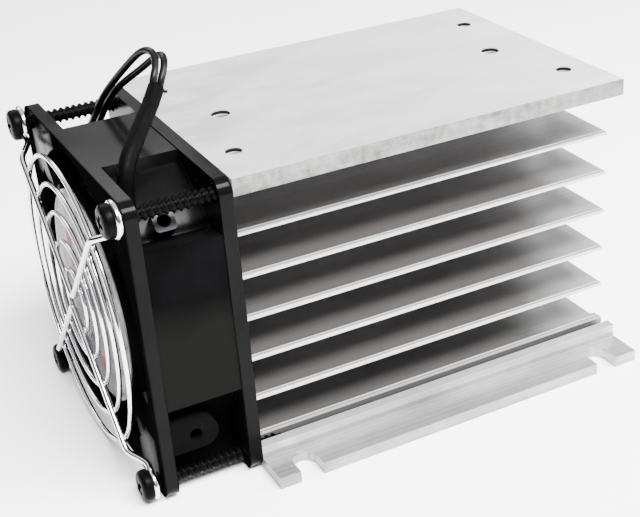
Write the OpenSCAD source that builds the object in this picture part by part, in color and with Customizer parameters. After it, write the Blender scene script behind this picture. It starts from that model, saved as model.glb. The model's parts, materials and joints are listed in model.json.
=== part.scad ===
// Fan-cooled heat sink assembly for a three-phase solid state relay.
// Millimetres. Origin under the middle of the assembly, on the plane it stands on.
// +X runs along the fins away from the fan, +Z points up through the relay seat.

/* [Heat sink] */
// Length of the extrusion along X
sink_len = 110; // [90:1:160]
// Width of the relay seat
seat_w = 80; // [80:1:90]
// Width over the two feet
base_w = 100; // [96:1:120]
// Height from the base to the relay seat
sink_h = 80; // [80:1:90]
// Thickness of the relay seat plate
seat_t = 4.3; // [3.5:0.1:6]
// Thickness of the feet
foot_t = 3.05; // [2.5:0.05:5]
// Thickness of the base between the screw channels
floor_t = 5; // [4:0.1:6]
// Thickness of the central web
web_t = 10; // [6:0.5:14]
// Number of fins on each side
fin_count = 5; // [3:1:5]
// Vertical distance from fin to fin
fin_pitch = 11.5; // [9:0.1:12]
// Distance from the centre to a fin's tip
fin_reach = 33.8; // [28:0.1:34]
// Thickness of a fin at its tip
fin_tip_t = 1.2; // [0.8:0.1:2]
// Thickness of a fin at the web
fin_root_t = 1.8; // [1.2:0.1:3]

/* [Relay and foot holes] */
// Spacing of the four M5 seat holes along X
corner_dx = 95; // [80:1:98]
// Spacing of the four M5 seat holes along Y
corner_dy = 49.5; // [40:0.5:60]
// Core diameter of the M5 seat holes
corner_d = 4.2; // [3.3:0.1:5]
// Spacing of the two M6 seat holes along X
centre_dx = 81; // [60:1:84]
// Core diameter of the M6 seat holes
centre_d = 5; // [4.2:0.1:6]
// Spacing of the foot slots along X
slot_dx = 91; // [70:1:96]
// Width of a foot slot
slot_w = 6.4; // [4:0.1:8]
// Distance from the centre line to a slot's inner end
slot_reach = 42; // [41.6:0.1:45]

/* [Fan] */
// Depth of the fan housing along X
fan_depth = 26; // [25:0.5:38]
// Side of the square fan flanges
fan_w = 80; // [80:1:80]
// Screw spacing of the fan
fan_hole_dy = 71.5; // [71:0.1:72]
// Thickness of a flange
flange_t = 3.4; // [2.5:0.1:4]
// Radius of the air passage
duct_r = 38; // [37:0.1:38.4]
// Radius of the fixed motor base
motor_r = 29.5; // [26:0.5:31]
// Number of fan blades
blade_count = 7; // [5:1:9]
// Slope of the blades
blade_pitch = 42; // [30:1:50]

/* [Finger guard] */
// Distance from the flange to the guard's front
guard_h = 6; // [5:0.1:8]
// Diameter of a ring's wire
ring_wire_d = 1.2; // [1:0.1:1.6]
// Diameter of an arm's wire
arm_wire_d = 1.6; // [1.4:0.1:2]
// Radius of the largest ring
ring_r_max = 37.4; // [35:0.1:38]
// Radius step from ring to ring
ring_step = 7.35; // [7:0.05:7.6]

/* [Screws and leads] */
// Outer diameter of the screw thread
screw_d = 4; // [3.8:0.1:4.2]
// Core diameter of the screw thread
screw_core_d = 2.9; // [2.6:0.1:3.2]
// Pitch of the screw thread
screw_pitch = 1.7; // [1.4:0.1:2]
// Length of thread inside the heat sink
screw_bite = 11; // [6:1:16]
// Diameter of a lead wire
lead_d = 1.8; // [1.6:0.1:2]
// Outer diameter of the sleeve
sleeve_d = 4.1; // [3.8:0.1:4.4]

/* [Hidden] */
$fn = 64;
eps = 0.01;            // overlap that keeps cuts clean

// Places along X
total_len = sink_len + fan_depth + guard_h;
x_fan = -total_len / 2 + guard_h;       // front face of the fan
x_sink = x_fan + fan_depth;             // fan end of the heat sink
x_holes = x_sink + sink_len / 2 - 0.5;  // middle of the hole patterns
hub_z = fan_w / 2;                      // height of the fan's axis

// Screw channels in the extrusion
chan_y = fan_hole_dy / 2;
chan_r = 1.6;          // radius of a channel
chan_gap = 2.9;        // width of a channel's mouth
lip_w = 1.15;          // width of a channel's lips
chan_lo_z = hub_z - chan_y;
chan_hi_z = hub_z + chan_y;
ridge_z = 6.6;         // top of a base channel's outer ridge
inner_ridge_z = 6.3;
inner_ridge_y = 31;
lip_drop = 0.8;        // depth of the seat's channel lips
seat_z = sink_h - seat_t;
foot_y = seat_w / 2;

// Fan housing
corner_r = 4;          // corner radius of the flanges
wall_r = 39.6;         // outside of the round duct wall
pad_face = 39.7;       // distance of the flat panels from the axis
pad_half = 15;         // half width of the top panel
bottom_half = 28;      // half width of the bottom panel
side_half = 27;        // height of the side panels above the axis
side_drop = 14.8;      // depth of the side panels below the axis
gutter_y = 30;         // inner end of the sloping top of a side panel
gutter_z = 25.4;
lug_half = 4.1;        // half width of the lug on the near side
lug_reach = 11.4;      // straight length of the lug, from the fan's front face
collar_r = 40.3;       // raised collar beside the rear flange
collar_w = 0.5;
fan_hole_d = 4.5;      // flange hole
base_plate_t = 2.6;    // thickness of the motor base
strut_w = 4.5;
strut_t = 3;
boss_w = 5.2;          // earth boss on the duct wall
boss_turn = 46.2;      // boss's lean from the vertical, towards the near side
boss_r = 44.2;         // distance of the boss's face from the axis
boss_hole_d = 3.3;
boss_x = 11.6;         // boss's middle, behind the fan's front face
panel_hole_x = 9.6;
panel_hole_z = 16.6;

// Motor, measured from the fan's front face along +X
shaft_d = 3;
shaft_in = 1.2;        // front end of the shaft
shaft_out = 23;        // rear end of the shaft
run_gap = 0.03;        // running clearance on the shaft
bearing_d = 8;
bearing_w = 3;
tube_wall = 1.2;
tube_len = 15.4;
pocket_r = 4.2;        // clearance around the shaft's front end
stator_r = 18.6;
stator_len = 9;
stator_x = 8.6;        // front face of the lamination stack
pole_count = 4;
rotor_in_r = 19;
rotor_out_r = 26;
hub_wall = 1.6;
hub_out_r = rotor_out_r + hub_wall;
hub_front = 3.2;       // gap between motor base and hub
hub_back = 23.6;       // closed end of the hub
tip_gap = 0.8;
label_r = 28;
label_t = 0.3;

// Guard
x_ring = x_fan - 4;                       // plane of the rings
x_arm = x_fan - guard_h + arm_wire_d / 2; // plane of the arms
x_eye = x_fan - arm_wire_d / 2;           // plane of the eyelets
eye_r_up = 3.9;        // radius of an upper eyelet's wire centre
eye_r_down = 3.4;      // a lower eyelet stays above the standing plane
apex_up = [-1.2, 1.4]; // upper arm's apex, Y and Z from the axis
apex_down = [0.9, -1.7];
stand_off = 1.2;       // three corners of the guard stand off the flange
ramp_from = 9.6;       // start of the ramp, before the screw's axis
ramp_to = 5;           // end of the ramp, before the screw's axis
ramp_side = 1.7;       // sideways run of the ramp, towards its tangent
eye_from = 52;         // degrees of an eyelet's arc, from the arm
eye_to = 338;
eye_step = 22;

// Screws
head_r = 4.1;
head_t = 2.6;
x_head = x_fan - arm_wire_d;              // underside of a screw head
recess_w = 1.1;
recess_l = 4.6;

// Leads. Route points are X, Y, Z in the part's frame.
lead_z = 1;            // height of a lead that lies on the standing plane
coil_r = 10.6;         // middle radius of a coil
coil_wide = 3.9;       // width of a coil across its two turns
coil_1 = [-31, 68];
coil_2 = [-4, 68];
sleeve_route = [[-59.5, -25.5, 70.5], [-59.5, -25.5, 75], [-59, -25.5, 79.5], [-57.5, -24, 83],
    [-55, -21.5, 85.5], [-52, -18, 87.5], [-49, -15, 89.5], [-46, -11.5, 91.5],
    [-43.5, -8.5, 93.5]];
route_1 = [[-44.5, -8.5, 93.5], [-43.5, -8, 96], [-42, -6.5, 98], [-41, -4.5, 99.5],
    [-41, -2, 100.5], [-41.5, 0.5, 100.5], [-42.5, 3.5, 99], [-43, 6.5, 97], [-44, 9.5, 94.5],
    [-45, 12.5, 92], [-46, 16, 89], [-47.5, 20, 85.5], [-48.5, 23.5, 82], [-49, 26.5, 78.5],
    [-49.5, 29.5, 75], [-50, 32.5, 72], [-50, 36, 70], [-50, 39.5, 68], [-50, 42, 65],
    [-50, 43.5, 61], [-50, 44, 56], [-50, 44, 50], [-50, 44, 44], [-50, 44, 38],
    [-50, 44, 32], [-50, 44, 26], [-50, 44, 20], [-50, 44, 14], [-49.5, 45, 8.5],
    [-48.5, 47.5, 4], [-46.5, 51, 1.5], [-43.5, 54, 1], [-39.5, 56, 1], [-35, 56.5, 1],
    [-31, 56.5, 1]];
route_2 = [[-42.5, -8, 93], [-41.5, -7.5, 95], [-40, -6.5, 97], [-39, -4.5, 98.5],
    [-38.5, -2, 99], [-38.5, 0.5, 98.5], [-39, 2.5, 97.5], [-40, 5.5, 95], [-41.5, 9, 92.5],
    [-43, 12.5, 90], [-44.5, 16.5, 87.5], [-45.5, 20, 85], [-46, 23, 82], [-47, 26.5, 78.5],
    [-47.5, 29.5, 75], [-47.5, 32.5, 72], [-47.5, 36, 70], [-47.5, 39.5, 68], [-47.5, 42, 65],
    [-47.5, 43.5, 61], [-47.5, 44, 56], [-47.5, 44, 50], [-47.5, 44, 44], [-47.5, 44, 38],
    [-47.5, 44, 32], [-47.5, 44, 26], [-47.5, 44, 20], [-47.5, 44, 14], [-47, 45, 8.5],
    [-46, 47, 4], [-44, 49.5, 1.5], [-41, 51.5, 1], [-37, 52.5, 1], [-32, 52.5, 1],
    [-27, 52.5, 1], [-22, 53, 1], [-17, 54.5, 1], [-12, 56, 1], [-8, 56.5, 1], [-4, 56.5, 1]];

// ---------------------------------------------------------------- helpers

// Stands a YZ outline up and runs it along X
module along_x(x, length) {
    translate([x, 0, 0]) rotate([90, 0, 90]) linear_extrude(length) children();
}

// A rod along X with its centre at y, z
module x_rod(x, length, r, y = 0, z = hub_z) {
    translate([x, y, z]) rotate([0, 90, 0]) cylinder(h = length, r = r);
}

// A ring along X on the fan's axis
module x_ring(x, length, r_out, r_in) {
    difference() {
        x_rod(x, length, r_out);
        x_rod(x - eps, length + 2 * eps, r_in);
    }
}

// A square with four round corners
module round_square(side, r) {
    inner = side - 2 * r;
    square([side, inner], center = true);
    square([inner, side], center = true);
    for (sy = [-1, 1], sz = [-1, 1])
        translate([sy * inner / 2, sz * inner / 2]) circle(r = r);
}

function unit(v) = v / norm(v);

// Direction of a route at point i
function heading(p, i) =
    unit(p[min(i + 1, len(p) - 1)] - p[max(i - 1, 0)]);

// Carries the side vector u along a route, so that the tube doesn't twist
function carried(p, i, u) =
    let (t = heading(p, i)) unit(u - (u * t) * t);

function sides(p, i = 0, u = [0.6, 0, 0.8], out = []) =
    i == len(p) ? out
    : let (s = carried(p, i, u)) sides(p, i + 1, s, concat(out, [s]));

// Five points that round the corner c between a and b, starting r before it
function bend(a, c, b, r) =
    let (p = c + r * unit(a - c), q = c + r * unit(b - c))
        [for (t = [0 : 0.25 : 1]) (1 - t) * (1 - t) * p + 2 * t * (1 - t) * c + t * t * q];

function reversed(p) = [for (i = [len(p) - 1 : -1 : 0]) p[i]];

// One closed tube swept along a route
module tube(p, d, n = 8) {
    u = sides(p);
    rings = [for (i = [0 : len(p) - 1])
        let (w = cross(heading(p, i), u[i]))
            for (k = [0 : n - 1])
                p[i] + (cos(360 * k / n) * u[i] + sin(360 * k / n) * w) * d / 2];
    skin = [for (i = [0 : len(p) - 2], k = [0 : n - 1])
        [i * n + k, (i + 1) * n + k, (i + 1) * n + (k + 1) % n, i * n + (k + 1) % n]];
    start_cap = [[for (k = [0 : n - 1]) k]];
    end_cap = [[for (k = [n - 1 : -1 : 0]) (len(p) - 1) * n + k]];
    polyhedron(rings, concat(skin, start_cap, end_cap), convexity = 6);
}

// --------------------------------------------------------------- heat sink

// A pair of tapered fins through the web, tip to tip
module fin_outline(z) {
    knee = fin_reach - fin_tip_t / 2;
    polygon([[-fin_reach, z - fin_tip_t / 4], [-knee, z - fin_tip_t / 2],
        [0, z - fin_root_t / 2], [knee, z - fin_tip_t / 2], [fin_reach, z - fin_tip_t / 4],
        [fin_reach, z + fin_tip_t / 4], [knee, z + fin_tip_t / 2], [0, z + fin_root_t / 2],
        [-knee, z + fin_tip_t / 2], [-fin_reach, z + fin_tip_t / 4]]);
}

// One side of a base channel, from y0 to y1 outwards, mirrored to side s
module ridge(s, y0, y1, top) {
    translate([s > 0 ? y0 : -y1, 0]) square([y1 - y0, top]);
}

module sink_outline() {
    fin_z0 = sink_h - 17.2;
    difference() {
        union() {
            translate([-seat_w / 2, seat_z]) square([seat_w, seat_t]);
            translate([-web_t / 2, 1]) square([web_t, sink_h - 2]);
            translate([-base_w / 2, 0]) square([base_w, foot_t]);
            translate([-foot_y, 0]) square([2 * foot_y, floor_t]);
            for (s = [-1, 1]) {
                ridge(s, inner_ridge_y, chan_y - chan_gap / 2, inner_ridge_z);
                ridge(s, chan_y + chan_gap / 2, foot_y, ridge_z);
                for (e = [-1, 1])
                    translate([s * chan_y + e * (chan_gap + lip_w) / 2 - lip_w / 2, seat_z - lip_drop])
                        square([lip_w, lip_drop + 1]);
            }
            for (i = [0 : fin_count - 1])
                fin_outline(fin_z0 - i * fin_pitch);
        }
        for (s = [-1, 1]) {
            translate([s * chan_y, chan_lo_z]) circle(r = chan_r);
            translate([s * chan_y - chan_gap / 2, chan_lo_z]) square([chan_gap, ridge_z]);
            translate([s * chan_y, chan_hi_z]) circle(r = chan_r);
        }
    }
}

module foot_slot() {
    translate([0, slot_reach + slot_w / 2, -eps]) {
        cylinder(h = foot_t + 2 * eps, d = slot_w);
        translate([-slot_w / 2, 0, 0]) cube([slot_w, base_w, foot_t + 2 * eps]);
    }
}

module heatsink() {
    centre_depth = 14;
    color([0.86, 0.86, 0.87])
    difference() {
        along_x(x_sink, sink_len) sink_outline();
        for (sx = [-1, 1], sy = [-1, 1]) {
            translate([x_holes + sx * corner_dx / 2, sy * corner_dy / 2, seat_z - 1])
                cylinder(h = seat_t + 2, d = corner_d);
            translate([x_holes + sx * slot_dx / 2, 0, 0]) rotate([0, 0, sy > 0 ? 0 : 180])
                foot_slot();
        }
        for (sx = [-1, 1])
            translate([x_holes + sx * centre_dx / 2, 0, sink_h - centre_depth])
                cylinder(h = centre_depth + 1, d = centre_d);
    }
}

// --------------------------------------------------------------------- fan

// Round duct wall of radius r with its flat panels
module duct_block(r) {
    intersection() {
        union() {
            circle(r = r);
            translate([-pad_half, 0]) square([2 * pad_half, pad_face]);
            translate([-bottom_half, -pad_face]) square([2 * bottom_half, pad_face]);
            polygon([[-pad_face, -side_drop], [pad_face, -side_drop], [pad_face, side_half],
                [gutter_y, gutter_z], [-gutter_y, gutter_z], [-pad_face, side_half]]);
        }
        square(2 * pad_face, center = true);
    }
}

// Flat lug with a round end, standing out of the duct wall
module side_lug() {
    y_in = -pad_face + 12;
    translate([x_fan, y_in, panel_hole_z]) rotate([90, 0, 0]) {
        translate([0, -lug_half, 0]) cube([lug_reach, 2 * lug_half, 12]);
        translate([lug_reach, 0, 0]) cylinder(h = 12, r = lug_half);
    }
}

module fan_housing() {
    rim = motor_r - 3;
    color([0.09, 0.09, 0.1])
    difference() {
        union() {
            difference() {
                union() {
                    for (x = [x_fan, x_sink - flange_t])
                        along_x(x, flange_t) translate([0, hub_z]) round_square(fan_w, corner_r);
                    along_x(x_fan, fan_depth) translate([0, hub_z]) duct_block(wall_r);
                    along_x(x_sink - flange_t - collar_w, collar_w + 1)
                        translate([0, hub_z]) duct_block(collar_r);
                    side_lug();
                    translate([x_fan + boss_x, 0, hub_z]) rotate([boss_turn, 0, 0])
                        translate([0, 0, wall_r - 2])
                            linear_extrude(boss_r - wall_r + 2) round_square(boss_w, 1);
                }
                x_rod(x_fan - 1, fan_depth + 2, duct_r);
            }
            x_rod(x_fan, base_plate_t, motor_r);
            for (a = [45 : 90 : 315])
                translate([x_fan, 0, hub_z]) rotate([a, 0, 0])
                    translate([0, -strut_w / 2, rim]) cube([strut_t, strut_w, duct_r - rim + 1]);
        }
        x_rod(x_fan - 1, base_plate_t + 2, pocket_r);
        for (sy = [-1, 1], sz = [-1, 1])
            x_rod(x_fan - 1, fan_depth + 2, fan_hole_d / 2, sy * chan_y, hub_z + sz * chan_y);
        translate([x_fan + boss_x, 0, hub_z]) rotate([boss_turn, 0, 0])
            translate([0, 0, wall_r + 0.4]) cylinder(h = boss_r, d = boss_hole_d);
        translate([x_fan + panel_hole_x, -pad_face - 1, panel_hole_z]) rotate([-90, 0, 0])
            cylinder(h = 5, d = boss_hole_d);
    }
}

module hub_label() {
    color([0.82, 0.82, 0.84]) x_rod(x_fan - label_t, label_t, label_r);
}

module bearing_tube() {
    color([0.78, 0.62, 0.3]) {
        x_ring(x_fan + base_plate_t, tube_len, bearing_d / 2 + tube_wall, bearing_d / 2);
        // flange staked to the motor base
        x_ring(x_fan + base_plate_t, 1, bearing_d / 2 + 3, bearing_d / 2);
    }
}

// Bearing with its outer ring, inner ring and shields in one solid of revolution
module bearing(x) {
    x_ring(x, bearing_w, bearing_d / 2, shaft_d / 2 + run_gap);
}

module front_bearing() {
    color([0.7, 0.7, 0.72]) bearing(x_fan + base_plate_t);
}

module rear_bearing() {
    color([0.7, 0.7, 0.72]) bearing(x_fan + base_plate_t + tube_len - bearing_w);
}

// Pole outline: a round core with wide-headed teeth
module stator_outline() {
    neck = 7;
    core_r = 9.5;
    head_in = 15.4;
    slot_mouth = 2.2;
    difference() {
        union() {
            circle(r = core_r);
            for (a = [0 : 360 / pole_count : 359]) rotate(a) {
                translate([0, -neck / 2]) square([head_in + 1, neck]);
                difference() {
                    intersection() {
                        circle(r = stator_r);
                        translate([0, -stator_r]) square([stator_r, 2 * stator_r]);
                    }
                    circle(r = head_in);
                    for (e = [-1, 1])
                        rotate(e * 180 / pole_count)
                            translate([0, -slot_mouth / 2]) square([stator_r + 1, slot_mouth]);
                    for (e = [-1, 1])
                        rotate(e * 180 / pole_count)
                            translate([0, e > 0 ? 0 : -stator_r]) square([stator_r + 1, stator_r]);
                }
            }
        }
        circle(r = bearing_d / 2 + tube_wall);
    }
}

module stator_core() {
    color([0.5, 0.5, 0.52])
        along_x(x_fan + stator_x, stator_len) translate([0, hub_z]) stator_outline();
}

// Insulating end plates on both faces of the stack
module stator_insulation() {
    plate_t = 0.8;
    color([0.9, 0.88, 0.78])
    for (x = [x_fan + stator_x - plate_t, x_fan + stator_x + stator_len])
        x_ring(x, plate_t, 17, bearing_d / 2 + tube_wall);
}

// One coil round each tooth, as a frame with a clear core
module stator_coils() {
    wide = 11.6;
    deep = 3.6;
    tall = stator_len + 6.4;
    hole_w = 7.2;
    hole_t = stator_len + 1.8;
    color([0.72, 0.38, 0.16])
    for (a = [0 : 360 / pole_count : 359])
        translate([x_fan + stator_x + stator_len / 2, 0, hub_z]) rotate([a, 0, 0])
            translate([0, 0, 11.3]) difference() {
                translate([-tall / 2, -wide / 2, -deep / 2]) cube([tall, wide, deep]);
                translate([-hole_t / 2, -hole_w / 2, -deep]) cube([hole_t, hole_w, 2 * deep]);
            }
}

// Copper shading bars let into one edge of each pole face
module shading_rings() {
    bar = 1.2;
    color([0.8, 0.45, 0.2])
    for (a = [0 : 360 / pole_count : 359])
        translate([x_fan + stator_x - 1.6, 0, hub_z]) rotate([a + 28, 0, 0])
            translate([0, -bar / 2, 15.6]) cube([0.6, bar, 2.4]);
}

module terminal_board() {
    board_t = 0.8;
    color([0.55, 0.45, 0.25])
    translate([x_fan + base_plate_t + 0.2, 0, hub_z]) rotate([45, 0, 0])
        translate([0, -5, 14]) cube([board_t, 10, 7]);
}

module shaft() {
    groove_x = 1.9;
    color([0.75, 0.75, 0.77])
    difference() {
        x_rod(x_fan + shaft_in, shaft_out - shaft_in, shaft_d / 2);
        x_ring(x_fan + groove_x, 0.4, shaft_d / 2 + 1, 1.15);
    }
}

module retaining_ring() {
    groove_x = 1.9;
    color([0.3, 0.3, 0.32])
    difference() {
        x_ring(x_fan + groove_x, 0.4, 2.7, 1.15);
        translate([x_fan, -0.9, hub_z - 4]) cube([4, 1.8, 4]);
    }
}

module preload_washer() {
    color([0.6, 0.6, 0.62])
        x_ring(x_fan + base_plate_t + tube_len + 0.2, 0.5, 3.2, shaft_d / 2);
}

module rotor_core() {
    color([0.45, 0.45, 0.47]) x_ring(x_fan + stator_x, stator_len, rotor_out_r, rotor_in_r);
}

// Cast end rings of the cage on both faces of the rotor core
module rotor_cage() {
    ring_t = 2;
    color([0.8, 0.8, 0.82])
    for (x = [x_fan + stator_x - ring_t, x_fan + stator_x + stator_len])
        x_ring(x, ring_t, rotor_out_r - 0.6, rotor_in_r + 0.6);
}

module blade() {
    blade_t = 1.5;
    reach = duct_r - tip_gap;
    blade_x = (hub_front + hub_back) / 2;
    half_len = (hub_back - hub_front) / 2 - 1;
    intersection() {
        x_ring(x_fan + blade_x - half_len, 2 * half_len, reach, hub_out_r - 0.8);
        translate([x_fan + blade_x, 0, hub_z]) rotate([0, 0, blade_pitch])
            translate([-20, -blade_t / 2, 0]) cube([40, blade_t, reach + 2]);
    }
}

module impeller() {
    web = 2;
    boss_len = 5;
    color([0.11, 0.11, 0.12]) {
        difference() {
            union() {
                x_rod(x_fan + hub_front, hub_back - hub_front, hub_out_r);
                for (i = [0 : blade_count - 1])
                    translate([0, 0, hub_z]) rotate([i * 360 / blade_count, 0, 0])
                        translate([0, 0, -hub_z]) blade();
            }
            x_rod(x_fan + hub_front - 1, hub_back - hub_front - web + 1, rotor_out_r);
            x_rod(x_fan + shaft_out - boss_len - eps, boss_len + eps, shaft_d / 2);
        }
        x_ring(x_fan + shaft_out - boss_len + 0.7, boss_len - web, 4, shaft_d / 2);
    }
}

// ------------------------------------------------------------ finger guard

module guard_ring(i) {
    color([0.9, 0.9, 0.92])
    translate([x_ring, 0, hub_z]) rotate([0, 90, 0]) rotate_extrude($fn = 96)
        translate([ring_r_max - (i - 1) * ring_step, 0]) circle(d = ring_wire_d, $fn = 24);
}

module guard_ring_1() { guard_ring(1); }
module guard_ring_2() { guard_ring(2); }
module guard_ring_3() { guard_ring(3); }
module guard_ring_4() { guard_ring(4); }
module guard_ring_5() { guard_ring(5); }

// Gap between the flange and the guard's eyelet in the corner sy, sz
function stand(sy, sz) = sy < 0 && sz > 0 ? 0 : stand_off;

// Half of an arm, from beside its apex to the end of its eyelet
function half_arm(sy, sz, apex, r) =
    let (eye = [x_eye - stand(sy, sz), sy * chan_y, hub_z + sz * chan_y],
         back = unit([0, apex[1] - eye[1], apex[2] - eye[2]]),
         side = sy * sz * cross([1, 0, 0], back),
         a = [x_arm, eye[1], eye[2]] + ramp_from * back,
         b = eye + ramp_to * back + ramp_side * side)
        concat(bend(apex, a, b, 1.5), [b],
            [for (t = [eye_from : eye_step : eye_to + 1])
                eye + r * (cos(t) * back + sin(t) * side)]);

module guard_arm(sz, middle, r) {
    apex = [x_arm, middle[0], hub_z + middle[1]];
    left = half_arm(-1, sz, apex, r);
    right = half_arm(1, sz, apex, r);
    color([0.9, 0.9, 0.92])
        tube(concat(reversed(left), bend(left[0], apex, right[0], 2.4), right), arm_wire_d, 10);
}

module guard_upper_arm() { guard_arm(1, apex_up, eye_r_up); }
module guard_lower_arm() { guard_arm(-1, apex_down, eye_r_down); }

// ------------------------------------------------------------------ screws

// Half profile of the threaded shank, ridge by ridge, towards the point
function thread_side(from, to) =
    [for (x = [from : screw_pitch : to - screw_pitch])
        each [[screw_core_d / 2, x], [screw_d / 2, x + screw_pitch * 0.42],
              [screw_d / 2, x + screw_pitch * 0.58]]];

module screw_body(length) {
    neck = 0.8;
    point_len = 3;
    rotate_extrude($fn = 48)
        polygon(concat([[0, 0], [screw_core_d / 2, 0]], thread_side(neck, length - point_len),
            [[screw_core_d / 2, length - point_len], [0.6, length], [0, length]]));
    // pan head, domed on its outer face
    difference() {
        rotate_extrude($fn = 48)
            polygon([[0, 0], [head_r, 0], [head_r, -head_t * 0.45], [head_r * 0.9, -head_t * 0.75],
                [head_r * 0.62, -head_t * 0.96], [0, -head_t]]);
        for (a = [0, 90])
            rotate(a) translate([-recess_l / 2, -recess_w / 2, -head_t - 1])
                cube([recess_l, recess_w, 2.4]);
    }
}

module fan_screw(sy, sz) {
    color([0.13, 0.12, 0.11])
    translate([x_head - stand(sy, sz), sy * chan_y, hub_z + sz * chan_y]) rotate([0, 90, 0])
        screw_body(arm_wire_d + fan_depth + screw_bite);
}

module fan_screw_1() { fan_screw(-1, 1); }
module fan_screw_2() { fan_screw(1, 1); }
module fan_screw_3() { fan_screw(-1, -1); }
module fan_screw_4() { fan_screw(1, -1); }

// ------------------------------------------------------------------- leads

module lead_sleeve() {
    color([0.2, 0.2, 0.21]) tube(sleeve_route, sleeve_d, 12);
}

module lead_1() { color([0.07, 0.07, 0.08]) tube(route_1, lead_d); }
module lead_2() { color([0.07, 0.07, 0.08]) tube(route_2, lead_d); }

// Two flat turns of a lead, as one ring that lies on the standing plane
module lead_coil(c) {
    color([0.07, 0.07, 0.08])
    translate([c[0], c[1], lead_z - lead_d / 2]) rotate_extrude()
        translate([coil_r - coil_wide / 2, 0]) square([coil_wide, lead_d]);
}

module lead_coil_1() { lead_coil(coil_1); }
module lead_coil_2() { lead_coil(coil_2); }

// ------------------------------------------------------------------- nodes

heatsink();
fan_housing();
hub_label();
bearing_tube();
front_bearing();
rear_bearing();
stator_core();
stator_insulation();
stator_coils();
shading_rings();
terminal_board();
shaft();
retaining_ring();
preload_washer();
rotor_core();
rotor_cage();
impeller();
guard_ring_1();
guard_ring_2();
guard_ring_3();
guard_ring_4();
guard_ring_5();
guard_upper_arm();
guard_lower_arm();
fan_screw_1();
fan_screw_2();
fan_screw_3();
fan_screw_4();
lead_sleeve();
lead_1();
lead_2();
lead_coil_1();
lead_coil_2();
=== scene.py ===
"""Looks of the fan-cooled relay heat sink: guard, axial fan and finned aluminium extrusion."""

import json
import math

import bmesh
import bpy
from mathutils import Matrix, Vector


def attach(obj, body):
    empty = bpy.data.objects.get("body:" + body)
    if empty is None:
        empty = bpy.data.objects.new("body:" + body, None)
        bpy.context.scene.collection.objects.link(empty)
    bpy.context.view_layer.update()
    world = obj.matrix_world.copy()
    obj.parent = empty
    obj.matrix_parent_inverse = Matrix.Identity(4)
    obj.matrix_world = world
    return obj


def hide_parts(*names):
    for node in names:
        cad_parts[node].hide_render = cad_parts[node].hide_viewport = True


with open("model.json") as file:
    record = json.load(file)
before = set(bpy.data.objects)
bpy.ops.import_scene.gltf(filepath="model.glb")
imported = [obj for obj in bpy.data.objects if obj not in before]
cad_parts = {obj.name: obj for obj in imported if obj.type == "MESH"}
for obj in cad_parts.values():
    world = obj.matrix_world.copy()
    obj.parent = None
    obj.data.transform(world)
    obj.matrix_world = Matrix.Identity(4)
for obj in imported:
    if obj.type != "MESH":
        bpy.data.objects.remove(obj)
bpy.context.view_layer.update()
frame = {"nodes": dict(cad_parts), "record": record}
nodes = frame["nodes"]
MM = 0.001

# Places in the part's frame, in millimetres
X_FAN = -65.0  # fan's front face
FAN_DEPTH = 26.0
AXIS_Z = 40.0  # fan's axis
SCREW_Y = 35.75  # fan screws from the axis, in Y and in Z
ARM_R = 0.8  # radius of the guard's arm wire
RING_WIRE_R = 0.6  # radius of its ring wire
RING_R = [37.4 - 7.35 * i for i in range(5)]
X_RING = X_FAN - 4.0  # plane of the rings
X_ARM = X_FAN - 5.2  # plane of the arms
X_EYE = X_FAN - ARM_R  # plane of the eyelets
X_HEAD = X_FAN - 2 * ARM_R  # underside of a screw head
X_HOLES = 15.5  # middle of the relay seat's holes
SEAT_TOP = 80.0
# Half spacing in X and Y, bore radius, thread pitch and threaded depth
CORNER_HOLES = (47.5, 24.75, 2.1, 0.8, 4.0)
CENTRE_HOLES = (40.5, 0.0, 2.5, 1.0, 11.0)

# ---------------------------------------------------------------- camera


def add_camera():
    azimuth, elevation, roll = (math.radians(a) for a in (-27.13, 28.58, -3.36))
    place = Vector((-133.64, -292.08, 195.91)) * MM
    back = Vector(
        (
            math.sin(azimuth) * math.cos(elevation),
            -math.cos(azimuth) * math.cos(elevation),
            math.sin(elevation),
        )
    )
    right = Vector((math.cos(azimuth), math.sin(azimuth), 0.0))
    up = back.cross(right)
    x_axis = right * math.cos(roll) + up * math.sin(roll)
    y_axis = up * math.cos(roll) - right * math.sin(roll)
    data = bpy.data.cameras.new("camera")
    data.sensor_width = 36.0
    data.lens = 72.89
    data.shift_x = -0.0866
    data.shift_y = 0.0463
    data.clip_start = 0.01
    data.clip_end = 20.0
    camera = bpy.data.objects.new("camera", data)
    bpy.context.scene.collection.objects.link(camera)
    turn = Matrix((x_axis, y_axis, back)).transposed()
    camera.matrix_world = Matrix.Translation(place) @ turn.to_4x4()
    bpy.context.scene.camera = camera


add_camera()

# ------------------------------------------------------------- materials


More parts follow.
